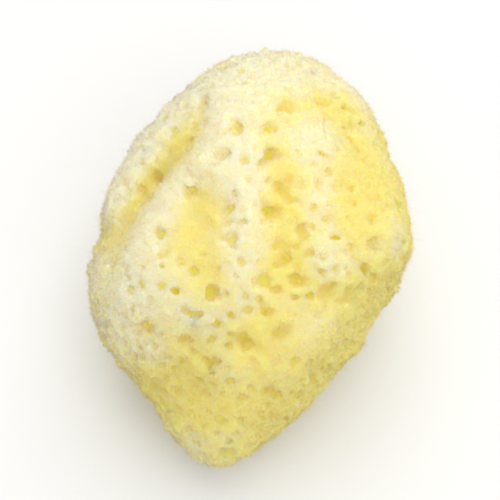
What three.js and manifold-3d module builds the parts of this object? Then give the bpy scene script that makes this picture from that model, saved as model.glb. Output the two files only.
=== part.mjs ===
// Fine-pored sea sponge: the soft skeleton of one animal, a rounded body that narrows to a blunt
// tip, with a fold along one side, oscula, scattered pores and a flat cut where it grew on rock.
// Millimetres, +Z up. It rests on the cut, and the origin is under the middle of its outline.

import * as THREE from "three";
import { ImprovedNoise } from "three/addons/math/ImprovedNoise.js";
import { mergeVertices } from "three/addons/utils/BufferGeometryUtils.js";
import Module from "manifold-3d";

const { degToRad, lerp, smoothstep } = THREE.MathUtils;

// Driving dimensions
const LENGTH = 90; // crown to tip, across the face
const FACE_DEPTH = 30; // how far the face domes out of the outline's plane
const BACK_DEPTH = 31; // how far the back domes, before the base is cut
const LEAN = degToRad(25); // the face looks up and leans this far towards -Y
const BASE_CUT = 5.5; // thickness of the slice that is cut off to leave the flat base
const SKIN_DETAIL = 14; // subdivisions of the skin
const PORE_COUNT = 74; // scattered pores, before those too close to another are dropped
const BASE_CANAL_COUNT = 9; // canals that the cut laid open
const SEED = 2026; // start of the repeatable random numbers

const HALF = LENGTH / 2;

// The outline's radius every 20 degrees, counter-clockwise from the right, as a share of half the
// length: round shoulders, a straighter left side and a tip that points down and a little left.
const OUTLINE = [
  0.75, 0.775, 0.845, 0.945, 0.985, 0.925, 0.8, 0.73, 0.72,
  0.73, 0.77, 0.765, 0.845, 0.995, 0.82, 0.705, 0.66, 0.68,
];
const TIP_THINNING = 0.42; // share of the depth that is lost towards the tip
const TIP_LENGTH = 34; // how far up from the tip the thinning reaches

// Swells and hollows of the skin. Each follows a path over the face, in mm [right, up] from its
// middle, and fades sideways over its spread. A negative height is a hollow.
const FOLD = [[-12, 26.5], [-27.5, 5.5]];
const FACE_SWELLS = [
  { path: [[-7, 32], [-5, 24], [1.2, 11.5], [-3, 3]], spread: 5, height: 1.5 }, // ridge from the crown
  { path: [[-10.5, 12], [-9, 4]], spread: 6.5, height: -2.2 }, // hollow left of the ridge
  { path: [[6.5, 13], [7, -2]], spread: 4.5, height: -1.2 }, // valley right of the ridge
  { path: [[15, 22], [12.8, 6.3], [17, -3]], spread: 5, height: 1.3 }, // second ridge
  { path: FOLD, spread: 4.6, height: -2.8 }, // floor of the fold
  { path: [[-16, 30], [-28, 12]], spread: 4, height: 1.2 }, // lip outside the fold
  { path: [[-13.5, 16], [-23, 3]], spread: 4, height: 1.1 }, // lip inside the fold
  { path: [[27.4, 6.3]], spread: 6.5, height: 2.2 }, // right shoulder
  { path: [[27.5, -8]], spread: 4.5, height: -1.8 }, // notch under the shoulder
  { path: [[17, 29]], spread: 6.5, height: -1.2 }, // dent below the crown
  { path: [[-3, -15]], spread: 6.5, height: -1.8 }, // lower hollow
  { path: [[-10, -17], [-17.5, -28]], spread: 4, height: -1.2 }, // crease that runs down from it
  { path: [[-24, -6], [-23, -16]], spread: 6.5, height: 1.2 }, // left cheek
  { path: [[15, -11], [9.6, -20], [3, -29]], spread: 5, height: 1.3 }, // ridge along the lower right
  { path: [[-8, -26.5], [1.5, -31]], spread: 3.6, height: -1.1 }, // crease above the tip
  { path: [[-4, -36]], spread: 6, height: 1.8 }, // lobe at the tip
];
const BACK_SWELLS = [
  { path: [[12, 24]], spread: 9, height: 2.4 },
  { path: [[-14, 22]], spread: 8, height: -2 },
  { path: [[-20, 2]], spread: 8, height: 1.8 },
  { path: [[20, -4]], spread: 7, height: -1.8 },
];
const EDGE_FADE = 8; // height above the outline's plane over which swells grow to their full size
const LUMP_SIZE = 11; // spacing of the skin's uneven lumps
const LUMP_HEIGHT = 1.3;

// The furrow along the floor of the fold. Its length is given in lengths of the fold.
const FURROW = { length: 1.15, width: 5, depth: 3, detail: 4 };

// Oscula, the large openings. [right, up] on the face or the back, diameter and depth.
const OSCULA = [
  { side: "face", at: [-19.6, 15.8], diameter: 4.2, depth: 11 },
  { side: "back", at: [7, 30], diameter: 7, depth: 12 },
  { side: "back", at: [-19, 12], diameter: 5.2, depth: 9 },
  { side: "back", at: [25, 12], diameter: 4.4, depth: 8 },
];
const OSCULUM_SIDES = 12;
const OSCULUM_STRETCH = 1.1; // length of the opening in widths

// The larger pores of the face: [right, up, diameter]
const FACE_PORES = [
  [-1.6, 26.1, 2.8], [7.9, 30.4, 3.2], [4.5, 25.7, 2.2], [4.7, 20.2, 2.8], [6.5, 13.3, 2.7],
  [5.1, 9.3, 3.0], [24.5, 8.3, 2.5], [24.7, 3.4, 2.3], [24.9, -3.6, 2.2], [6.9, 0, 2.7],
  [9.2, -3.8, 2.3], [3.7, -3.7, 2.0], [-6.6, -1.7, 2.2], [-6.6, -5.6, 2.4], [-0.4, -15.9, 2.9],
  [6.1, -13.9, 2.4], [-8.1, -19.6, 2.6], [-11.5, -15.6, 2.4], [-16.8, 5.8, 2.2], [-16.7, 1.5, 2.0],
  [-6.2, 20.4, 2.6], [-10.6, 12.6, 2.8], [-4.4, 9.4, 2.6], [-3.9, 4.2, 2.4], [10.6, 5.4, 2.3],
  [15, 31.5, 2.4], [21.9, 22.6, 2.2], [15.7, 19.7, 2.0], [20, -6.6, 2.1], [13.1, -24.4, 2.2],
];
const PORE_DIAMETERS = [1.7, 2.9]; // of the scattered pores
const PORE_GAP = 4.2; // least distance between the middles of two pores
const PORE_DEPTH = 1.5; // a pore's depth in diameters
const PORE_STRETCH = 1.45; // the longest a pore is, in widths
const PORE_SIDES = 6;
const PORE_DRIFT = 0.3; // how far a scattered pore strays from its even place, in steps
const CANAL_DIAMETERS = [2, 3.6];
const CANAL_DEPTH = 2; // a canal's depth in diameters
const CANAL_STRETCH = 1.2;
const CANAL_RING = [0.24, 0.36]; // radius of the ring of canals, as a share of the base's size
const CANAL_DRIFT = 0.2; // how far a canal strays along the ring, in radians

// A hole narrows from its mouth to a waist and ends in a point. Shares of its radius and depth.
const HOLE_MOUTH = 1.3;
const HOLE_WAIST = { radius: 0.72, depth: 0.6 };

const EMBED = 4; // how far a cutting shape stands out of the skin that it cuts
const FAR = 200; // a distance well outside the sponge
const TOUCHING = 1e-4; // vertices closer than this are one
const ON_CUT = 1e-3; // vertices closer to the cut's plane than this lie on it

const solids = await Module();
solids.setup();

// A repeatable stream of numbers from 0 to 1.
const MULTIPLIER = 16807;
const MODULUS = 2 ** 31 - 1;
let state = SEED;
function draw() {
  state = (state * MULTIPLIER) % MODULUS;
  return state / MODULUS;
}
const between = (low, high) => lerp(low, high, draw());

// A closed three.js geometry as a solid that can be cut.
function toSolid(geometry) {
  const bare = geometry.clone();
  bare.deleteAttribute("normal");
  bare.deleteAttribute("uv");
  const merged = mergeVertices(bare, TOUCHING);
  return new solids.Manifold(
    new solids.Mesh({
      numProp: 3,
      vertProperties: merged.attributes.position.array,
      triVerts: new Uint32Array(merged.index.array),
    }),
  );
}

function toGeometry(solid) {
  const mesh = solid.getMesh();
  const geometry = new THREE.BufferGeometry();
  geometry.setAttribute("position", new THREE.BufferAttribute(mesh.vertProperties, mesh.numProp));
  geometry.setIndex(new THREE.BufferAttribute(mesh.triVerts, 1));
  geometry.computeVertexNormals();
  return geometry;
}

// The outline's radius at an angle, on a smooth closed curve through OUTLINE.
function outlineRadius(angle) {
  const count = OUTLINE.length;
  const place = ((angle / (2 * Math.PI)) * count + count) % count;
  const step = Math.floor(place);
  const [before, start, end, after] = [-1, 0, 1, 2].map((k) => OUTLINE[(step + k + count) % count]);
  const t = place - step;
  const slopeIn = (end - before) / 2;
  const slopeOut = (after - start) / 2;
  const bend = 2 * (start - end) + slopeIn + slopeOut;
  const turn = 3 * (end - start) - 2 * slopeIn - slopeOut;
  return HALF * (((bend * t + turn) * t + slopeIn) * t + start);
}

// The smooth body in the direction of a unit vector, before its swells and lumps.
// In the face's own frame x is right, y is up to the crown and z is out of the face.
function bodyPoint(direction) {
  const radius = outlineRadius(Math.atan2(direction.y, direction.x));
  const x = radius * direction.x;
  const y = radius * direction.y;
  const thinning = 1 - TIP_THINNING * (1 - smoothstep(y, -HALF, -HALF + TIP_LENGTH));
  const depth = direction.z > 0 ? FACE_DEPTH : BACK_DEPTH;
  return new THREE.Vector3(x, y, depth * direction.z * thinning);
}

function distanceToPath(point, path) {
  const stops = path.map(([x, y]) => new THREE.Vector3(x, y, 0));
  const toStops = stops.map((stop) => stop.distanceTo(point));
  const toRuns = stops.slice(1).map((stop, k) => {
    const run = new THREE.Line3(stops[k], stop);
    return run.closestPointToPoint(point, true, new THREE.Vector3()).distanceTo(point);
  });
  return Math.min(...toStops, ...toRuns);
}

// The swells and hollows at a point of the body, which fade to nothing at the outline.
function swellHeight(point) {
  const onPlane = new THREE.Vector3(point.x, point.y, 0);
  const swells = point.z > 0 ? FACE_SWELLS : BACK_SWELLS;
  const relief = swells.reduce((height, swell) => {
    const away = distanceToPath(onPlane, swell.path) / swell.spread;
    return height + swell.height * Math.exp(-away * away);
  }, 0);
  return relief * smoothstep(Math.abs(point.z), 0, EDGE_FADE);
}

const unevenness = new ImprovedNoise();

function lumpHeight(point) {
  const { x, y, z } = point.clone().divideScalar(LUMP_SIZE);
  return LUMP_HEIGHT * unevenness.noise(x, y, z);
}

function skinGeometry() {
  const sphere = new THREE.IcosahedronGeometry(1, SKIN_DETAIL);
  const position = sphere.getAttribute("position");
  const direction = new THREE.Vector3();
  for (let i = 0; i < position.count; i++) {
    direction.fromBufferAttribute(position, i).normalize();
    const point = bodyPoint(direction);
    const outward = point.clone().divide(new THREE.Vector3(HALF, HALF, FACE_DEPTH)).normalize();
    point.addScaledVector(outward, swellHeight(point) + lumpHeight(point));
    position.setXYZ(i, point.x, point.y, point.z);
  }
  return sphere;
}

// Where a line from outside first meets the skin, and which way the skin faces there.
function skinSpot(skinMesh, from, towards) {
  const heading = towards.clone().sub(from).normalize();
  const hit = new THREE.Raycaster(from, heading).intersectObject(skinMesh)[0];
  return { point: hit.point, outward: hit.face.normal.clone() };
}

function sideSpot(skinMesh, side, [x, y]) {
  const z = side === "face" ? FAR : -FAR;
  return skinSpot(skinMesh, new THREE.Vector3(x, y, z), new THREE.Vector3(x, y, 0));
}

// A hole along -Y with its mouth at y = 0, from where it stands EMBED proud.
function holeGeometry(diameter, depth, sides) {
  const radius = diameter / 2;
  const profile = [
    [0, -depth],
    [HOLE_WAIST.radius * radius, -HOLE_WAIST.depth * depth],
    [HOLE_MOUTH * radius, EMBED],
    [0, EMBED],
  ].map(([x, y]) => new THREE.Vector2(x, y));
  return new THREE.LatheGeometry(profile, sides);
}

function placedHole(spot, diameter, depth, sides, stretch) {
  const geometry = holeGeometry(diameter, depth, sides);
  geometry.rotateY(2 * Math.PI * draw());
  geometry.scale(stretch, 1, 1);
  geometry.rotateY(2 * Math.PI * draw());
  const turn = new THREE.Quaternion().setFromUnitVectors(new THREE.Vector3(0, 1, 0), spot.outward);
  geometry.applyQuaternion(turn);
  geometry.translate(...spot.point.toArray());
  return toSolid(geometry);
}

// The furrow: a long rounded body laid along the skin between the fold's two ends.
function furrowSolid(skinMesh) {
  const [start, end] = FOLD.map((stop) => sideSpot(skinMesh, "face", stop));
  const halfway = [0, 1].map((axis) => (FOLD[0][axis] + FOLD[1][axis]) / 2);
  const middle = sideSpot(skinMesh, "face", halfway);
  const along = end.point.clone().sub(start.point);
  const across = new THREE.Vector3().crossVectors(middle.outward, along).normalize();
  const outward = new THREE.Vector3().crossVectors(along, across).normalize();
  const furrow = new THREE.IcosahedronGeometry(1, FURROW.detail);
  furrow.scale((FURROW.length * along.length()) / 2, FURROW.width / 2, FURROW.depth);
  furrow.applyMatrix4(new THREE.Matrix4().makeBasis(along.clone().normalize(), across, outward));
  furrow.translate(...middle.point.toArray());
  return toSolid(furrow);
}

function oscula(skinMesh) {
  return OSCULA.map(({ side, at, diameter, depth }) =>
    placedHole(sideSpot(skinMesh, side, at), diameter, depth, OSCULUM_SIDES, OSCULUM_STRETCH),
  );
}

// Spots spread evenly over the skin along a spiral, each moved a little off it.
function scatteredSpots(skinMesh) {
  const goldenAngle = Math.PI * (3 - Math.sqrt(5));
  return Array.from({ length: PORE_COUNT }, (_, i) => {
    const height = 1 - (2 * (i + 0.5 + between(-PORE_DRIFT, PORE_DRIFT))) / PORE_COUNT;
    const angle = i * goldenAngle + between(-PORE_DRIFT, PORE_DRIFT);
    const flat = Math.sqrt(1 - height * height);
    const from = new THREE.Vector3(flat * Math.cos(angle), flat * Math.sin(angle), height);
    return skinSpot(skinMesh, from.setLength(FAR), new THREE.Vector3());
  });
}

// The face's pores, then scattered pores wherever no other opening is near.
function pores(skinMesh) {
  const taken = OSCULA.map(({ side, at }) => sideSpot(skinMesh, side, at).point);
  const holes = [];
  const addPore = (spot, diameter) => {
    taken.push(spot.point);
    const stretch = between(1, PORE_STRETCH);
    holes.push(placedHole(spot, diameter, PORE_DEPTH * diameter, PORE_SIDES, stretch));
  };
  for (const [x, y, diameter] of FACE_PORES) {
    addPore(sideSpot(skinMesh, "face", [x, y]), diameter);
  }
  for (const spot of scatteredSpots(skinMesh)) {
    if (taken.every((point) => point.distanceTo(spot.point) > PORE_GAP)) {
      addPore(spot, between(...PORE_DIAMETERS));
    }
  }
  return holes;
}

// Turns the face's frame into the sponge's own, where +Z is up.
const lean = new THREE.Matrix4().makeRotationX(LEAN);
const unlean = lean.clone().invert();

function lowestPoint(geometry) {
  const leaning = geometry.clone().applyMatrix4(lean);
  leaning.computeBoundingBox();
  return leaning.boundingBox.min.z;
}

// What lies under the cut, in the face's frame: the rock that the sponge grew on.
function rockSolid(cutHeight) {
  const rock = new THREE.BoxGeometry(2 * FAR, 2 * FAR, FAR);
  rock.translate(0, 0, cutHeight - FAR / 2);
  rock.applyMatrix4(unlean);
  return toSolid(rock);
}

// The box around the flat base, in the leaning frame.
function baseBox(geometry, cutHeight) {
  const leaning = geometry.clone().applyMatrix4(lean);
  const position = leaning.getAttribute("position");
  const box = new THREE.Box3();
  const point = new THREE.Vector3();
  for (let i = 0; i < position.count; i++) {
    point.fromBufferAttribute(position, i);
    if (Math.abs(point.z - cutHeight) < ON_CUT) {
      box.expandByPoint(point);
    }
  }
  return box;
}

// Canals laid open by the cut, on a ring round the middle of the base.
function baseCanals(base) {
  const size = base.getSize(new THREE.Vector3());
  const centre = base.getCenter(new THREE.Vector3());
  const outward = new THREE.Vector3(0, 0, -1).transformDirection(unlean);
  return Array.from({ length: BASE_CANAL_COUNT }, (_, i) => {
    const angle = (2 * Math.PI * i) / BASE_CANAL_COUNT + between(-CANAL_DRIFT, CANAL_DRIFT);
    const offset = new THREE.Vector3(Math.cos(angle) * size.x, Math.sin(angle) * size.y, 0);
    const point = centre.clone().addScaledVector(offset, between(...CANAL_RING)).applyMatrix4(unlean);
    const diameter = between(...CANAL_DIAMETERS);
    return placedHole({ point, outward }, diameter, CANAL_DEPTH * diameter, PORE_SIDES, CANAL_STRETCH);
  });
}

const skin = skinGeometry();
const skinMesh = new THREE.Mesh(skin);
const cutHeight = lowestPoint(skin) + BASE_CUT;
const cutBody = toSolid(skin).subtract(rockSolid(cutHeight));
const canals = baseCanals(baseBox(toGeometry(cutBody), cutHeight));
const holes = [furrowSolid(skinMesh), ...oscula(skinMesh), ...pores(skinMesh), ...canals];
const body = toGeometry(holes.reduce((solid, hole) => solid.subtract(hole), cutBody));

const spongin = new THREE.MeshStandardMaterial({ color: 0xf0e296, roughness: 0.95, metalness: 0 });
const sponge = new THREE.Mesh(body, spongin);
sponge.name = "sponge";
sponge.rotation.x = LEAN;

const bounds = new THREE.Box3().setFromObject(sponge, true);
const middle = bounds.getCenter(new THREE.Vector3());
sponge.position.set(-middle.x, -middle.y, -bounds.min.z);

const part = new THREE.Group();
part.add(sponge);

export default part;
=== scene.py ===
"""The looks of a fine-pored sea sponge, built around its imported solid.

The body is carved from the solid as a distance field, so that its facets round off and small pores and
rough relief can be cut into it. Short fibres grow on it in tufts, with longer stray ones between them.
"""

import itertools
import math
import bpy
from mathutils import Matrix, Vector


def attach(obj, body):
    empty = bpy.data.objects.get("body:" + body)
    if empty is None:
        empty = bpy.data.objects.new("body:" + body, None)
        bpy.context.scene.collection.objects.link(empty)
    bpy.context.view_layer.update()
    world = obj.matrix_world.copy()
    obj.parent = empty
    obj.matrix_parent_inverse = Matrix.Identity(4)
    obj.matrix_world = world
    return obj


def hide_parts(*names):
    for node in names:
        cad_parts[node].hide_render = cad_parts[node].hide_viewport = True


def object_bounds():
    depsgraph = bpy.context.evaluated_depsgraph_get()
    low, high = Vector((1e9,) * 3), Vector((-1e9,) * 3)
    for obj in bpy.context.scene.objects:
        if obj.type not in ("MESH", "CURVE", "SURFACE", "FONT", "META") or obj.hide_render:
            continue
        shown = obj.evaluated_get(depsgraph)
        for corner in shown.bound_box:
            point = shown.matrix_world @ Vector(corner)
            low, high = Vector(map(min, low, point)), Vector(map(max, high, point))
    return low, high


bl_info = {
    "name": "Sea Sponge",
    "version": (1, 0, 0),
    "blender": (4, 5, 0),
    "location": "View3D > Sidebar > Sponge",
    "description": "Carves a porous sponge body, grows its fibres and sets a plain stage",
    "category": "Add Mesh",
}

import bpy
import numpy as np
import openvdb
from bpy.props import FloatProperty, FloatVectorProperty, IntProperty, PointerProperty
from mathutils import Vector, kdtree

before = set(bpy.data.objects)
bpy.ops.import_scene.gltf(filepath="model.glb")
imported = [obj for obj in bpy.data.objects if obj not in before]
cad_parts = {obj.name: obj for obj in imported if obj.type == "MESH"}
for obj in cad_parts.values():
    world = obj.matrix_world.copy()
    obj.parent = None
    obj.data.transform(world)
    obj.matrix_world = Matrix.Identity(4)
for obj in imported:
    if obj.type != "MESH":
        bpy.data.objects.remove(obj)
cad_low, cad_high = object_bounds()

NODE = "sponge"
BODY_OBJECT = "sponge_body"
FIBRE_MATERIAL = "sponge_fibre"
BAKE_MAP = "OFBake"  # the name of the UV map that lays the fibres out for baking
TINY = 1e-9  # keeps a division by a length from failing


# User settings


def distance(name, description, metres):
    """A length that a user may change."""
    return FloatProperty(
        name=name,
        description=description,
        default=metres,
        precision=6,
        subtype="DISTANCE",
        unit="LENGTH",
    )


def whole(name, description, default):
    """A count that a user may change."""
    return IntProperty(name=name, description=description, default=default, min=1)


def colour(name, description, default):
    """A colour that a user may change."""
    return FloatVectorProperty(
        name=name,
        description=description,
        default=default,
        size=3,
        min=0.0,
        max=1.0,
        subtype="COLOR",
    )


class SpongeBodySettings(bpy.types.PropertyGroup):
    """Sizes of the carved body."""

    grain: distance("Grain", "Edge of one cell of the field that the body is carved in", 0.0004)
    rounding: distance("Rounding", "How far the rims of the large pores are rounded off", 0.00065)
    inset: distance("Inset", "How far the body lies inside the solid, under its fibres", 0.0005)
    warp: distance("Warp", "How far the form is pushed about, so that no pore stays round", 0.00025)
    warp_spread: distance("Warp Spread", "Breadth of one push of the form", 0.001)
    pore_floor: distance("Pore Floor", "Usual depth of the floor of the deepest pores", 0.0021)
    relief: distance("Relief", "Height of the skin's rough relief", 0.0002)
    relief_spread: distance("Relief Spread", "Breadth of one bump of the rough relief", 0.0005)
    pore_spacing: distance("Pore Spacing", "Least distance between two small pores", 0.003)
    pore_narrow: distance("Narrowest Pore", "Radius of the smallest pore", 0.0003)
    pore_wide: distance("Widest Small Pore", "Radius of the largest of the small pores", 0.0008)
    face_limit: whole("Face Limit", "Most triangles that the body may have", 190000)
    seed: whole("Seed", "Start of the random numbers for pores and relief", 7)


class SpongeFibreSettings(bpy.types.PropertyGroup):
    """Sizes of the fibres."""

    tuft_spacing: distance("Tuft Spacing", "Distance between the tufts of short fibres", 0.0011)
    tuft_height: distance("Tuft Height", "Usual height of a tuft above the body", 0.0008)
    thickness: distance("Thickness", "Radius of a short fibre at its root", 0.000045)
    nap_count: whole("Short Fibres", "Short fibres in each piece of nap", 44000)
    nap_pieces: whole("Pieces of Nap", "Pieces that the short fibres are shared out to", 4)
    stray_count: whole("Stray Fibres", "Long fibres that stand out between the tufts", 9000)
    stray_length: distance("Stray Length", "Usual length of a stray fibre", 0.0015)
    seed: whole("Seed", "Start of the random numbers for the fibres", 11)


class SpongeColourSettings(bpy.types.PropertyGroup):
    """Colours of the sponge and the floor."""

    # The skin's ridge colour is painted light and its hollow and pore colours are painted shade; the
    # fibres' root colour is painted shade.
    ridge: colour("Ridge", "Colour of the skin where it stands out", (0.95, 0.86, 0.58))
    hollow: colour("Hollow", "Colour of the skin where it falls in", (0.93, 0.79, 0.25))
    pore: colour("Pore", "Colour inside the pores", (0.99, 0.9, 0.19))
    fibre_tip: colour("Fibre Tip", "Colour of the fibres at their tips", (0.965, 0.895, 0.74))
    fibre_root: colour("Fibre Root", "Colour of the fibres at their roots", (0.945, 0.77, 0.2))
    floor: colour("Floor", "Colour of the floor", (0.86, 0.86, 0.85))


class SpongeStageSettings(bpy.types.PropertyGroup):
    """Camera, lights and floor."""

    elevation: FloatProperty(
        name="Elevation",
        description="Height of the camera above the horizon",
        default=math.radians(65),
        subtype="ANGLE",
        unit="ROTATION",
    )
    lens: FloatProperty(
        name="Lens",
        description="Focal length of the camera",
        default=85.0,
        subtype="DISTANCE_CAMERA",
        unit="CAMERA",
    )
    fill: FloatProperty(
        name="Fill",
        description="Share of the picture's height that the sponge takes up",
        default=0.8,
        subtype="FACTOR",
    )
    floor_size: distance("Floor Size", "Edge of the floor", 6.0)
    key_power: FloatProperty(
        name="Key Light",
        description="Power of the key light",
        default=4.4,
        unit="POWER",
    )
    fill_power: FloatProperty(
        name="Fill Light",
        description="Power of the fill light",
        default=2.5,
        unit="POWER",
    )
    sky: FloatProperty(
        name="Sky",
        description="Strength of the even light from all round",
        default=0.62,
        subtype="FACTOR",
    )


# Distance field


def eased(values, low, high):
    """0 below low, 1 above high, and a smooth step between them."""
    share = np.clip((values - low) / (high - low), 0, 1)
    return share * share * (3 - 2 * share)


def unit(vectors):
    """The vectors at length 1."""
    return vectors / np.maximum(np.linalg.norm(vectors, axis=1, keepdims=True), TINY)


class Field:
    """Signed distances to a closed mesh on a grid of cells, negative inside."""

    SKIN = 0.012  # distances are exact to this depth under the surface
    MARGIN = 0.004  # cells are kept to this height above the surface
    PUSHED = 0.0025  # the form is pushed about no further than this from the surface
    BOXES = 3  # box filters along each axis that together come close to a Gaussian blur
    NARROWING = 0.45  # share of its width that a pore loses towards its end

    def __init__(self, points, triangles, grain):
        self.grain = grain
        self.transform = openvdb.createLinearTransform(grain)
        level_set = openvdb.FloatGrid.createLevelSetFromPolygons(
            points,
            triangles=triangles,
            transform=self.transform,
            exBandWidth=self.MARGIN / grain,
            inBandWidth=self.SKIN / grain,
        )
        self.low = np.floor((points.min(0) - self.MARGIN) / grain).astype(int)
        high = np.ceil((points.max(0) + self.MARGIN) / grain).astype(int)
        self.values = np.empty(high - self.low + 1, np.float32)
        level_set.copyToArray(self.values, ijk=tuple(int(i) for i in self.low))

    def blurred(self, values, spread):
        """Values on the same cells after a blur by boxes that together spread as far."""
        half = round((math.hypot(2 * spread / self.grain, 1) - 1) / 2)
        width = 2 * half + 1
        for _ in range(values.ndim):
            for _ in range(self.BOXES):
                padded = np.pad(values, ((half + 1, half), (0, 0), (0, 0)), mode="edge")
                sums = np.cumsum(padded, axis=0)
                values = (sums[width:] - sums[:-width]) / width
            values = np.ascontiguousarray(np.moveaxis(values, 0, -1))
        return values

    def noise(self, rng, spread):
        """Smooth random numbers around 0, about 1 in size, whose lumps have this spread."""
        lumps = rng.standard_normal(self.values.shape, np.float32)
        lumps = self.blurred(lumps, spread)
        return lumps / lumps.std()

    def push(self, rng, amount, spread):
        """Pushes the form about by an uneven amount."""
        self.warp = np.stack([amount * self.noise(rng, spread) for _ in range(3)], axis=-1)
        near = np.abs(self.values) < self.PUSHED
        places = (np.argwhere(near) + self.low) * self.grain + self.warp[near]
        self.values[near] = self.sampled(self.values, places)

    def heights(self):
        """Heights of the cells above the ground, shaped to spread over the grid."""
        cells = self.low[2] + np.arange(self.values.shape[2])
        return (cells * self.grain).astype(np.float32)[None, None]

    def sampled(self, values, points):
        """Values on the same cells at points, blended between cells."""
        place = points / self.grain - self.low
        cell = np.clip(np.floor(place).astype(int), 0, np.array(values.shape) - 2)
        part = place - cell
        total = np.zeros(len(points))
        for corner in itertools.product((0, 1), repeat=3):
            weight = np.prod(np.where(corner, part, 1 - part), axis=1)
            total += weight * values[tuple((cell + corner).T)]
        return total

    def outward(self, values, points):
        """Unit vectors along which the values grow fastest at points."""
        slopes = np.gradient(values)
        return unit(np.stack([self.sampled(slope, points) for slope in slopes], axis=1))

    def surface_points(self, rng):
        """One point in each cell that the surface passes through, in random order."""
        cells = np.argwhere(np.abs(self.values) < self.grain / 2)
        cells = cells[rng.permutation(len(cells))]
        anywhere = rng.uniform(-0.5, 0.5, cells.shape)
        return (cells + self.low + anywhere) * self.grain

    def carve(self, centre, inward, radius, depth, softness):
        """Cuts one pore: a round-ended hole that starts above the surface and narrows inward."""
        reach = radius + depth + softness
        first = np.maximum(np.floor((centre - reach) / self.grain).astype(int) - self.low, 0)
        last = np.ceil((centre + reach) / self.grain).astype(int) - self.low + 1
        last = np.minimum(last, self.values.shape)
        block = tuple(slice(a, b) for a, b in zip(first, last))
        cells = np.stack(np.mgrid[block], axis=-1) + self.low
        offset = cells * self.grain + self.warp[block] - centre
        along = np.clip(offset @ inward, -radius, depth)
        away = np.linalg.norm(offset - along[..., None] * inward, axis=-1)
        hole = radius * (1 - self.NARROWING * np.clip(along / depth, 0, 1)) - away
        solid = self.values[block]
        blend = np.clip(0.5 + 0.5 * (hole - solid) / softness, 0, 1)
        self.values[block] = solid + blend * (hole - solid) + softness * blend * (1 - blend)

    def surface(self):
        """Points and quads of the surface."""
        grid = openvdb.FloatGrid(float(self.MARGIN))
        grid.copyFromArray(self.values, ijk=tuple(int(i) for i in self.low))
        grid.transform = self.transform
        return grid.convertToQuads(0.0)


def spaced(points, gap):
    """The points that are left when each one within gap of an earlier one is dropped."""
    kept = []
    taken = {}
    for point in points:
        cell = tuple(int(x) for x in np.floor(point / gap))
        around = itertools.product(*[(c - 1, c, c + 1) for c in cell])
        near = [p for key in around for p in taken.get(key, ())]
        if all(np.dot(point - p, point - p) > gap * gap for p in near):
            taken.setdefault(cell, []).append(point)
            kept.append(point)
    return np.array(kept)


# Meshes


def mesh_object(name, points, faces):
    """A smooth-shaded object of points and faces that all have as many corners."""
    corners = faces.shape[1]
    mesh = bpy.data.meshes.new(name)
    mesh.vertices.add(len(points))
    mesh.vertices.foreach_set("co", points.astype(np.float32).ravel())
    mesh.loops.add(faces.size)
    mesh.loops.foreach_set("vertex_index", faces.astype(np.int32).ravel())
    mesh.polygons.add(len(faces))
    mesh.polygons.foreach_set("loop_start", np.arange(0, faces.size, corners, dtype=np.int32))
    mesh.update(calc_edges=True)
    mesh.shade_smooth()
    made = bpy.data.objects.new(name, mesh)
    bpy.context.scene.collection.objects.link(made)
    return made


def vertex_places(mesh):
    """Places of the mesh's vertices."""
    points = np.empty(len(mesh.vertices) * 3, np.float32)
    mesh.vertices.foreach_get("co", points)
    return points.reshape(-1, 3)


def triangle_corners(mesh):
    """Numbers of the vertices at the corners of the mesh's triangles."""
    mesh.calc_loop_triangles()
    corners = np.empty(len(mesh.loop_triangles) * 3, np.int32)
    mesh.loop_triangles.foreach_get("vertices", corners)
    return corners.reshape(-1, 3)


def store(mesh, name, values):
    """Keeps one number, or one vector, for each vertex of the mesh."""
    vector = values.ndim == 2
    attribute = mesh.attributes.new(name, "FLOAT_VECTOR" if vector else "FLOAT", "POINT")
    field = "vector" if vector else "value"
    attribute.data.foreach_set(field, values.astype(np.float32).ravel())


def stored(mesh, name):
    """What store kept, with a row for each vertex."""
    attribute = mesh.attributes[name]
    vector = attribute.data_type == "FLOAT_VECTOR"
    values = np.empty(len(mesh.vertices) * (3 if vector else 1), np.float32)
    attribute.data.foreach_get("vector" if vector else "value", values)
    return values.reshape(-1, 3) if vector else values


def largest_part(points, faces):
    """The points and faces of the largest connected part."""
    labels = np.arange(len(points))
    starts = faces.ravel()
    ends = np.roll(faces, -1, axis=1).ravel()
    while True:
        lowest = np.minimum(labels[starts], labels[ends])
        spread = labels.copy()
        np.minimum.at(spread, starts, lowest)
        np.minimum.at(spread, ends, lowest)
        spread = spread[spread]
        if np.array_equal(spread, labels):
            break
        labels = spread
    kept = labels == np.bincount(labels).argmax()
    renumbered = np.cumsum(kept) - 1
    return points[kept], renumbered[faces[kept[faces[:, 0]]]]


def thinned(made, face_limit):
    """Collapses edges of the object's mesh until it has no more triangles than the limit."""
    collapse = made.modifiers.new("collapse", "DECIMATE")
    collapse.ratio = min(1.0, face_limit / len(triangle_corners(made.data)))
    collapse.use_collapse_triangulate = True
    depsgraph = bpy.context.evaluated_depsgraph_get()
    mesh = bpy.data.meshes.new_from_object(made.evaluated_get(depsgraph))
    made.modifiers.clear()
    made.data = mesh
    mesh.name = made.name


def join_frame(piece, material):
    """Gives a piece its finish and lets it ride on the one body."""
    piece.data.materials.append(material)
    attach(piece, "root")


# Shader maths


class Value:
    """A number's socket, with arithmetic that adds Math nodes."""

    def __init__(self, finish, socket):
        self.finish = finish
        self.socket = socket

    def math(self, operation, first, second):
        inputs = {0: first, 1: second}
        node = self.finish.node("ShaderNodeMath", {"operation": operation}, inputs)
        return Value(self.finish, node.outputs[0])

    def __add__(self, other):
        return self.math("ADD", self, other)

    __radd__ = __add__

    def __sub__(self, other):
        return self.math("SUBTRACT", self, other)

    def __rsub__(self, other):
        return self.math("SUBTRACT", other, self)

    def __mul__(self, other):
        return self.math("MULTIPLY", self, other)

    __rmul__ = __mul__


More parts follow.
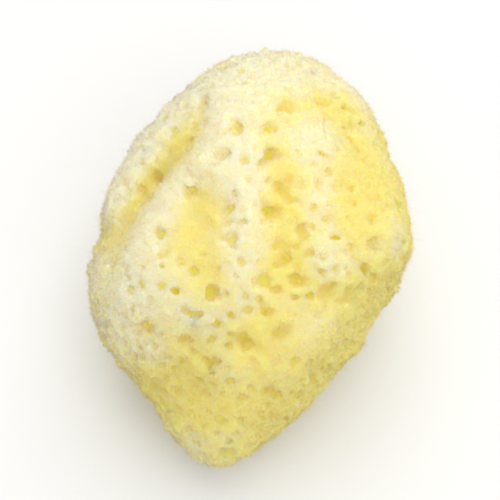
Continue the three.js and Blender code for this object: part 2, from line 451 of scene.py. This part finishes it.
class Finish:
    """A material and the nodes that feed its shader."""

    # A Mix node has a socket of each name for each kind of data. These are the colour's.
    MIX_SHARE, MIX_FIRST, MIX_SECOND, MIX_RESULT = 0, 6, 7, 2
    NOISE_MIDDLE = 0.5  # of the numbers that a noise node gives

    def __init__(self, name):
        self.material = bpy.data.materials.new(name)
        self.material.use_nodes = True
        self.tree = self.material.node_tree
        self.tree.nodes.clear()
        self.shader = self.node("ShaderNodeBsdfPrincipled")
        self.node("ShaderNodeOutputMaterial", None, {"Surface": self.shader.outputs[0]})

    def feed(self, socket, value):
        """Links a value's socket, or sets a constant."""
        if isinstance(value, Value):
            value = value.socket
        if isinstance(value, bpy.types.NodeSocket):
            self.tree.links.new(value, socket)
        elif socket.type == "RGBA":
            socket.default_value = (*value, 1.0)
        else:
            socket.default_value = value

    def node(self, kind, settings=None, inputs=None):
        """A node of this kind, with its settings set first and then its sockets fed."""
        made = self.tree.nodes.new(kind)
        for name, value in (settings or {}).items():
            setattr(made, name, value)
        for name, value in (inputs or {}).items():
            self.feed(made.inputs[name], value)
        return made

    def set(self, **sockets):
        """Feeds the shader's sockets, whose spaces are written as underscores."""
        for name, value in sockets.items():
            self.feed(self.shader.inputs[name.replace("_", " ")], value)

    def attribute(self, name):
        """A number that is kept for each vertex."""
        node = self.node("ShaderNodeAttribute", {"attribute_name": name})
        return Value(self, node.outputs["Fac"])

    def noise(self, size, detail):
        """Smooth noise around 0 whose lumps are this size."""
        place = self.node("ShaderNodeTexCoord").outputs["Object"]
        inputs = {"Vector": place, "Scale": 1 / size, "Detail": detail}
        lumps = self.node("ShaderNodeTexNoise", None, inputs).outputs["Fac"]
        return Value(self, lumps) - self.NOISE_MIDDLE

    def step(self, value, low, high):
        """0 below low, 1 above high, and a smooth step between them."""
        inputs = {"Value": value, "From Min": low, "From Max": high}
        node = self.node("ShaderNodeMapRange", {"interpolation_type": "SMOOTHSTEP"}, inputs)
        return Value(self, node.outputs["Result"])

    def mix(self, share, first, second):
        """A colour between two others."""
        inputs = {self.MIX_SHARE: share, self.MIX_FIRST: first, self.MIX_SECOND: second}
        return self.node("ShaderNodeMix", {"data_type": "RGBA"}, inputs).outputs[self.MIX_RESULT]

    def bump(self, height, distance, strength):
        """A normal that is tilted by a height."""
        inputs = {"Height": height, "Distance": distance, "Strength": strength}
        return self.node("ShaderNodeBump", None, inputs).outputs["Normal"]


# Finishes

BLEND = (0.1, 0.9)  # shares between which golden turns to pale
DEEP_BLEND = (0.35, 0.85)  # how shut in the skin is where its colour turns to the pores' deep gold, a painted shade
PATCHES = 0.5  # how much broad patches shift the skin between golden and pale
PORE_PATCHES = 0.2  # how much they shift the edge of the pores' colour
SPECKLING = 0.3  # how much fine speckle shifts both
MIDDLE_TINT = 0.5  # a fibre of this tint is half pale in its middle
SHEEN_ROUGHNESS = 0.5
SHEEN_TINT = (1.0, 0.96, 0.84)


def skin_finish(colours):
    """Soft skeleton that light passes into: painted light pales its ridges, painted shade gilds its
    hollows and pores.
    """
    finish = Finish("sponge_skin")
    patches = finish.noise(size=0.011, detail=2.0)
    speckle = SPECKLING * finish.noise(size=0.0011, detail=3.0)
    pits = finish.noise(size=0.0005, detail=4.0)
    # Painted light: the skin is pale on the ridges and towards the left, back and top, shifted by random
    # patches and speckle.
    pale = finish.step(finish.attribute("pale") + PATCHES * patches + speckle, *BLEND)
    # Painted shade: the skin turns deep gold where it is shut in or lies deep.
    deep = finish.step(finish.attribute("crevice") + PORE_PATCHES * patches + speckle, *DEEP_BLEND)
    skin = finish.mix(pale, colours.hollow, colours.ridge)
    finish.set(
        Base_Color=finish.mix(deep, skin, colours.pore),
        Roughness=0.92,
        Specular_IOR_Level=0.2,
        Subsurface_Weight=1.0,
        Subsurface_Radius=(1.0, 0.7, 0.14),
        Subsurface_Scale=0.011,
        Sheen_Weight=0.1,
        Sheen_Roughness=SHEEN_ROUGHNESS,
        Sheen_Tint=SHEEN_TINT,
        Normal=finish.bump(pits, distance=0.0004, strength=0.5),
    )
    return finish.material


def fibre_finish(colours):
    """Fibre: golden at its root as painted shade and pale at its tip, more so where its tint is pale."""
    finish = Finish(FIBRE_MATERIAL)
    pale = finish.step(finish.attribute("along") + finish.attribute("tint") - MIDDLE_TINT, *BLEND)
    finish.set(
        Base_Color=finish.mix(pale, colours.fibre_root, colours.fibre_tip),
        Roughness=0.9,
        Specular_IOR_Level=0.15,
        Sheen_Weight=0.12,
        Sheen_Roughness=SHEEN_ROUGHNESS,
        Sheen_Tint=SHEEN_TINT,
    )
    return finish.material


def floor_finish(colours):
    """Plain pale floor."""
    finish = Finish("floor_paper")
    finish.set(Base_Color=colours.floor, Roughness=0.9, Specular_IOR_Level=0.1)
    return finish.material


# Fibres

SIDES = 3  # of a fibre
TINT_STRIPS = 32  # strips of the fibres' bake map, one for each tint
ROOT_TRIES = 3  # places that are tried for each fibre that grows
UPRIGHT = 0.9  # a direction that rises by more than this share of its length counts as upright
ROOT_ROOM = 0.05  # height on the map of the face that closes a fibre's root
TINT_RANGE = (0.1, 0.9)  # usual tints of fibres in a hollow, as painted shade, and on a ridge, as painted light
TINT_SPREAD = 0.16  # how much neighbouring fibres differ in tint
UPLIFT = np.array((0.0, 0.0, 0.6))  # light passes through fibres, so they are shaded as facing up more


def roots(mesh, count, rng):
    """Random places on the mesh, evenly spread by area, with what its vertices keep there."""
    corners = triangle_corners(mesh)
    places = vertex_places(mesh)
    edges = places[corners[:, 1:]] - places[corners[:, :1]]
    steps = np.cumsum(np.linalg.norm(np.cross(edges[:, 0], edges[:, 1]), axis=1))
    chosen = np.searchsorted(steps, rng.uniform(0, steps[-1], count))
    first, second = rng.uniform(0, 1, (2, count))
    over = first + second > 1
    first[over], second[over] = 1 - first[over], 1 - second[over]
    weights = np.stack([1 - first - second, first, second], axis=1)

    def blended(values):
        return np.einsum("nc,nc...->n...", weights, values[corners[chosen]])

    return {
        "place": blended(places),
        "outward": unit(blended(stored(mesh, "outward"))),
        "crevice": blended(stored(mesh, "crevice")),
        "pale": blended(stored(mesh, "pale")),
    }


def picked(found, chosen):
    """The same table with only the chosen rows."""
    return {name: values[chosen] for name, values in found.items()}


def tints(found, rng):
    """Tints of fibres with these roots: pale on ridges as painted light, golden in hollows and round the
    pores as painted shade.
    """
    usual = np.interp(found["pale"] - found["crevice"], (0, 1), TINT_RANGE)
    return np.clip(rng.normal(usual, TINT_SPREAD), 0, 1)


def across(directions):
    """Two unit vectors square to each direction and to each other."""
    upright = np.abs(directions[:, 2:]) > UPRIGHT
    helper = np.where(upright, (1.0, 0.0, 0.0), (0.0, 0.0, 1.0))
    first = unit(np.cross(directions, helper))
    return first, np.cross(directions, first)


def strand_faces(rings):
    """Triangles of one closed strand: its root, its sides and its tip."""
    faces = [(2, 1, 0)]
    for ring in range(rings - 2):
        for corner in range(SIDES):
            a = SIDES * ring + corner
            b = SIDES * ring + (corner + 1) % SIDES
            faces += [(a, b, b + SIDES), (a, b + SIDES, a + SIDES)]
    top = SIDES * (rings - 2)
    tip = SIDES * (rings - 1)
    faces += [(top + c, top + (c + 1) % SIDES, tip) for c in range(SIDES)]
    return np.array(faces)


def strands(name, lines, radius, normals, tint):
    """One object of tapered three-sided strands along lines of points, shaded by given normals."""
    count, rings, _ = lines.shape
    side, other = across(unit(lines[:, -1] - lines[:, 0]))
    taper = np.linspace(1, 0, rings)[:-1]
    rows = []
    for ring, share in enumerate(taper):
        for corner in range(SIDES):
            angle = math.tau * corner / SIDES
            spoke = math.cos(angle) * side + math.sin(angle) * other
            rows.append(lines[:, ring] + spoke * (radius * share)[:, None])
    rows.append(lines[:, -1])
    points = np.stack(rows, axis=1)
    faces = strand_faces(rings)
    starts = np.arange(count)[:, None, None] * len(rows)
    made = mesh_object(name, points.reshape(-1, 3), (starts + faces).reshape(-1, 3))
    along = np.append(np.repeat(1 - taper, SIDES), 1.0)
    strip = np.minimum((tint * TINT_STRIPS).astype(int), TINT_STRIPS - 1)
    store(made.data, "along", np.tile(along, count))
    store(made.data, "tint", np.repeat((strip + 0.5) / TINT_STRIPS, len(rows)))
    map_strands(made.data, faces.ravel(), along, strip)
    made.data.normals_split_custom_set_from_vertices(np.repeat(normals, len(rows), axis=0))
    # The fibres cast no shadows; their golden roots are painted shade in place of them.
    made.visible_shadow = False
    return made


def map_strands(mesh, corners, along, strip):
    """Lays the strands out for baking: those of one tint share a strip, roots at its foot."""
    upward = along[corners]
    upward[1] = ROOT_ROOM
    sideways = (corners % SIDES + 0.5) / SIDES
    u = (strip[:, None] + sideways) / TINT_STRIPS
    v = np.broadcast_to(upward, u.shape)
    layer = mesh.uv_layers.new(name=BAKE_MAP)
    layer.data.foreach_set("uv", np.stack([u, v], axis=-1).astype(np.float32).ravel())


def nearest(points, others):
    """For each of points, the number of the nearest of others."""
    tree = kdtree.KDTree(len(others))
    for number, other in enumerate(others):
        tree.insert(other, number)
    tree.balance()
    return np.array([tree.find(point)[1] for point in points])


# Operators


class SPONGE_OT_carve_body(bpy.types.Operator):
    """Carve the porous body out of the solid"""

    bl_idname = "sponge.carve_body"
    bl_label = "Carve Body"

    FACETS = 0.0016  # spread of the blur that levels the solid's facets
    BROAD = 0.0022  # spread of the blur that leaves the broad form
    FORM = 0.004  # spread of the blur that tells ridges from hollows
    NEAR = 0.001  # how far a vertex looks round to tell how shut in it is
    FOOT = 0.004  # height over which the body's inset grows from the ground
    OPEN_SKIN = 0.0006  # small pores start no further than this from the broad form
    PORE_TRIES = 30000  # places among which the small pores are chosen
    PATCH = 0.007  # breadth of a patch with or without small pores
    PATCH_EDGE = -0.5  # patches with less than this have none
    PORE_DEPTHS = (2.0, 3.2)  # of small pores, in radii
    PORE_LEAN = 0.25  # how far small pores lean off straight inward
    PORE_RIM = 0.0005  # rounding where small pores meet the skin
    PORE_SKEW = (1.2, 3.0)  # shape of the draw of radii, which favours narrow pores
    FLOOR_UNEVEN = 0.2  # unevenness of the floor of the deepest pores
    SHUT_IN = (0.42, 0.85)  # shares of solid around a vertex that is open and one that is shut in
    DEEP = (0.0, 0.0025)  # depths under the broad form of the skin and of a deep pore
    RISE = (0.0, 0.0013)  # heights over the surroundings, with the painted light slope, of golden and of pale skin
    PAINTED_LIGHT_SLOPE = (-0.011, 0.005, 0.01)  # painted light: to this side, the left, back and top, the skin is paler, as if it rose so much in each metre

    def execute(self, context):
        sizes = context.scene.sponge_body
        rng = np.random.default_rng(sizes.seed)
        field = Field(*self.solid(), sizes.grain)
        self.level_facets(field)
        broad = field.blurred(field.values, self.BROAD)
        field.push(rng, sizes.warp, sizes.warp_spread)
        field.values = field.blurred(field.values, sizes.rounding)
        self.cut_pores(field, broad, sizes, rng)
        uneven = 1 + self.FLOOR_UNEVEN * field.noise(rng, sizes.warp_spread)
        field.values = np.minimum(field.values, broad + sizes.pore_floor * uneven)
        field.values += sizes.relief * field.noise(rng, sizes.relief_spread)
        height = field.heights()
        field.values += sizes.inset * eased(height, 0, self.FOOT)
        field.values = np.maximum(field.values, -height)
        body = mesh_object(BODY_OBJECT, *largest_part(*field.surface()))
        thinned(body, sizes.face_limit)
        self.keep_forms(body, field, broad, sizes)
        join_frame(body, skin_finish(context.scene.sponge_colours))
        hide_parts(NODE)
        return {"FINISHED"}

    def solid(self):
        """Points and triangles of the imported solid."""
        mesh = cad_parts[NODE].data
        return vertex_places(mesh), triangle_corners(mesh).astype(np.uint32)

    def level_facets(self, field):
        """Takes out what a blur takes out of the broad form, and leaves the pores."""
        form = field.blurred(field.values, self.FACETS)
        field.values += field.blurred(form, self.FACETS) - form

    def cut_pores(self, field, broad, sizes, rng):
        """Cuts the small pores, in patches, where the skin has no larger one."""
        places = spaced(field.surface_points(rng)[: self.PORE_TRIES], sizes.pore_spacing)
        patch = field.sampled(field.noise(rng, self.PATCH), places)
        skin = np.abs(field.sampled(broad, places)) < self.OPEN_SKIN
        places = places[skin & (patch > self.PATCH_EDGE)]
        widening = sizes.pore_wide - sizes.pore_narrow
        for place, outward in zip(places, field.outward(broad, places)):
            radius = sizes.pore_narrow + widening * rng.beta(*self.PORE_SKEW)
            inward = unit(rng.normal(-outward, self.PORE_LEAN)[None])[0]
            depth = radius * rng.uniform(*self.PORE_DEPTHS)
            field.carve(place, inward, radius, depth, self.PORE_RIM)

    def keep_forms(self, body, field, broad, sizes):
        """Keeps for each vertex how deep and shut in it lies, for painted shade, how pale it is, for
        painted light, and which way is out.
        """
        places = vertex_places(body.data)
        solid = (field.values < 0).astype(np.float32)
        shut_in = field.sampled(field.blurred(solid, self.NEAR), places)
        depth = -field.sampled(broad, places) - sizes.inset
        rise = field.sampled(field.blurred(broad, self.FORM) - broad, places)
        # crevice is painted shade: the skin turns deep gold where it is shut in or lies deep
        store(body.data, "crevice", (eased(shut_in, *self.SHUT_IN) + eased(depth, *self.DEEP)) / 2)
        # pale is painted light: the skin is paler on the ridges and towards the left, back and top
        store(body.data, "pale", eased(rise + places @ self.PAINTED_LIGHT_SLOPE, *self.RISE))
        store(body.data, "outward", field.outward(broad, places))


class SPONGE_OT_grow_nap(bpy.types.Operator):
    """Grow the short fibres, gathered in tufts"""

    bl_idname = "sponge.grow_nap"
    bl_label = "Grow Nap"

    TUFT_TRIES = 60000  # places among which the tufts are chosen
    TUFT_HEIGHTS = (0.5, 1.4)  # lowest and highest tuft, in usual heights
    TUFT_SHUT_IN = 0.6  # no tuft stands where the body is more shut in than this
    OPENNESS = (0.35, 0.75)  # where the body is more shut in than a draw from this, no fibre grows
    HEIGHTS = (0.4, 1.3)  # shortest and longest fibre, in usual heights of a tuft
    PULL = (0.4, 0.95)  # share of the way to its tuft's tip that a fibre leans
    STRAY_TIP = 0.00012  # how far the tips of a tuft miss each other
    RADII = (0.7, 1.3)  # thinnest and thickest fibre
    CUT = 0.0003  # the cut base has no fibres below this height
    CONE = 0.8  # how far the sides of a tuft are shaded as the sides of a cone
    NORMAL_SPREAD = 0.2  # how differently neighbouring fibres catch the light

    def execute(self, context):
        sizes = context.scene.sponge_fibres
        rng = np.random.default_rng(sizes.seed)
        body = bpy.data.objects[BODY_OBJECT].data
        tufts = self.tuft_tips(body, sizes, rng)
        material = fibre_finish(context.scene.sponge_colours)
        for number in range(sizes.nap_pieces):
            found = self.open_roots(body, sizes.nap_count, rng)
            lines = self.short_lines(found, tufts, sizes, rng)
            radius = sizes.thickness * rng.uniform(*self.RADII, len(lines))
            normals = self.cone_normals(found["outward"], lines, rng)
            nap = strands(f"nap_{number + 1}", lines, radius, normals, tints(found, rng))
            join_frame(nap, material)
        return {"FINISHED"}

    def cone_normals(self, outward, lines, rng):
        """Normals of the cones that the tufts form, as a fibre that leans one way faces the other."""
        heading = unit(lines[:, 1] - lines[:, 0])
        sideways = heading - outward * np.sum(heading * outward, axis=1, keepdims=True)
        return unit(rng.normal(outward - self.CONE * sideways + UPLIFT, self.NORMAL_SPREAD))

    def tuft_tips(self, body, sizes, rng):
        """Tips of the tufts: one over each patch of skin, at an uneven height."""
        found = roots(body, self.TUFT_TRIES, rng)
        height = sizes.tuft_height * rng.uniform(*self.TUFT_HEIGHTS, self.TUFT_TRIES)
        tips = found["place"] + found["outward"] * height[:, None]
        cells = np.floor(found["place"] / sizes.tuft_spacing).astype(int)
        _, chosen = np.unique(cells, axis=0, return_index=True)
        return tips[chosen[found["crevice"][chosen] < self.TUFT_SHUT_IN]]

    def open_roots(self, body, count, rng):
        """Roots on the open skin, with none deep in the pores or on the cut."""
        tries = ROOT_TRIES * count
        found = roots(body, tries, rng)
        open_skin = found["crevice"] < rng.uniform(*self.OPENNESS, tries)
        above = found["place"][:, 2] > self.CUT
        return picked(found, np.flatnonzero(open_skin & above)[:count])

    def short_lines(self, found, tufts, sizes, rng):
        """Root and tip of each short fibre."""
        places = found["place"]
        height = sizes.tuft_height * rng.uniform(*self.HEIGHTS, len(places))
        own = places + found["outward"] * height[:, None]
        goal = tufts[nearest(places, tufts)]
        pull = rng.uniform(*self.PULL, len(places))[:, None]
        tips = rng.normal(own + pull * (goal - own), self.STRAY_TIP)
        tips[:, 2] = np.maximum(tips[:, 2], 0)
        return np.stack([places, tips], axis=1)


class SPONGE_OT_grow_strays(bpy.types.Operator):
    """Grow the longer fibres that stand out between the tufts"""

    bl_idname = "sponge.grow_strays"
    bl_label = "Grow Strays"

    RINGS = 3  # points along a stray
    SHUT_IN = 0.5  # no stray grows where the body is more shut in than this
    CUT = 0.001  # nor below this height
    LEAN = 0.55  # how far strays lean off straight outward
    BEND = 0.5  # how far a stray's tip bends aside, in lengths
    LENGTH_SPREAD = 0.3  # how much strays differ in length
    RADII = (0.5, 0.9)  # thinnest and thickest stray, in radii of a short fibre
    NORMAL_SPREAD = 0.3  # how differently neighbouring strays catch the light

    def execute(self, context):
        sizes = context.scene.sponge_fibres
        rng = np.random.default_rng(sizes.seed + 1)
        body = bpy.data.objects[BODY_OBJECT].data
        found = roots(body, ROOT_TRIES * sizes.stray_count, rng)
        kept = (found["crevice"] < self.SHUT_IN) & (found["place"][:, 2] > self.CUT)
        found = picked(found, np.flatnonzero(kept)[: sizes.stray_count])
        count = len(found["place"])
        heading = unit(rng.normal(found["outward"], self.LEAN))
        bend = rng.normal(0, self.BEND, heading.shape)
        length = sizes.stray_length * rng.lognormal(0, self.LENGTH_SPREAD, count)[:, None]
        steps = np.linspace(0, 1, self.RINGS)
        lines = [found["place"] + length * (step * heading + step * step * bend) for step in steps]
        lines = np.stack(lines, axis=1)
        lines[..., 2] = np.maximum(lines[..., 2], 0)
        radius = sizes.thickness * rng.uniform(*self.RADII, count)
        normals = unit(rng.normal(found["outward"] + UPLIFT, self.NORMAL_SPREAD))
        strays = strands("stray_fibres", lines, radius, normals, tints(found, rng))
        join_frame(strays, bpy.data.materials[FIBRE_MATERIAL])
        return {"FINISHED"}


class SPONGE_OT_set_stage(bpy.types.Operator):
    """Set the floor, the lights and the camera"""

    bl_idname = "sponge.set_stage"
    bl_label = "Set Stage"

    # Where each light stands from the middle of the sponge, and its edge, in metres.
    KEY = (Vector((0.1, 0.35, 0.8)), 0.9)
    FILL = (Vector((0.15, -0.45, 0.75)), 0.9)

    def execute(self, context):
        stage = context.scene.sponge_stage
        centre = (cad_low + cad_high) / 2
        self.floor(stage, context.scene.sponge_colours)
        self.light("key", stage.key_power, centre, *self.KEY)
        self.light("fill", stage.fill_power, centre, *self.FILL)
        self.sky(stage, context.scene)
        self.camera(stage, context.scene, centre)
        context.scene.view_settings.view_transform = "Standard"
        return {"FINISHED"}

    def floor(self, stage, colours):
        """A square sheet that the sponge rests on."""
        half = stage.floor_size / 2
        corners = np.array([(-half, -half, 0), (half, -half, 0), (half, half, 0), (-half, half, 0)])
        made = mesh_object("floor", corners, np.array([(0, 1, 2, 3)]))
        made.data.materials.append(floor_finish(colours))

    def light(self, name, power, target, offset, size):
        """A square soft light that faces the sponge."""
        lamp = bpy.data.lights.new(name, "AREA")
        lamp.energy = power
        lamp.size = size
        made = bpy.data.objects.new(name, lamp)
        made.location = target + offset
        made.rotation_mode = "QUATERNION"
        made.rotation_quaternion = (-offset).to_track_quat("-Z", "Y")
        bpy.context.scene.collection.objects.link(made)

    def sky(self, stage, scene):
        """Even white light from all round."""
        scene.world = bpy.data.worlds.new("sky")
        scene.world.use_nodes = True
        background = scene.world.node_tree.nodes["Background"]
        background.inputs["Color"].default_value = (1, 1, 1, 1)
        background.inputs["Strength"].default_value = stage.sky

    def camera(self, stage, scene, centre):
        """Looks down on the sponge's face from the front."""
        data = bpy.data.cameras.new("camera")
        data.lens = stage.lens
        made = bpy.data.objects.new("camera", data)
        scene.collection.objects.link(made)
        back = Vector((0, -math.cos(stage.elevation), math.sin(stage.elevation)))
        half_length = (cad_high - cad_low).y / 2
        half_view = data.sensor_width / 2 / data.lens
        made.location = centre + back * (half_length / stage.fill / half_view)
        made.rotation_mode = "QUATERNION"
        made.rotation_quaternion = (-back).to_track_quat("-Z", "Y")
        scene.camera = made


class SPONGE_PT_panel(bpy.types.Panel):
    """Settings and steps of the sponge"""

    bl_label = "Sea Sponge"
    bl_idname = "SPONGE_PT_panel"
    bl_space_type = "VIEW_3D"
    bl_region_type = "UI"
    bl_category = "Sponge"

    def draw(self, context):
        for step in STEPS:
            self.layout.operator(step.bl_idname)
        for name in SETTINGS:
            group = getattr(context.scene, name)
            box = self.layout.box()
            for setting in group.__annotations__:
                box.prop(group, setting)


SETTINGS = {
    "sponge_body": SpongeBodySettings,
    "sponge_fibres": SpongeFibreSettings,
    "sponge_colours": SpongeColourSettings,
    "sponge_stage": SpongeStageSettings,
}
STEPS = (SPONGE_OT_carve_body, SPONGE_OT_grow_nap, SPONGE_OT_grow_strays, SPONGE_OT_set_stage)
CLASSES = (*SETTINGS.values(), *STEPS, SPONGE_PT_panel)


def register():
    for made in CLASSES:
        bpy.utils.register_class(made)
    for name, group in SETTINGS.items():
        setattr(bpy.types.Scene, name, PointerProperty(type=group))


def unregister():
    for name in SETTINGS:
        delattr(bpy.types.Scene, name)
    for made in reversed(CLASSES):
        bpy.utils.unregister_class(made)


def main():
    register()
    bpy.ops.sponge.carve_body()
    bpy.ops.sponge.grow_nap()
    bpy.ops.sponge.grow_strays()
    bpy.ops.sponge.set_stage()


if __name__ == "__main__":
    main()
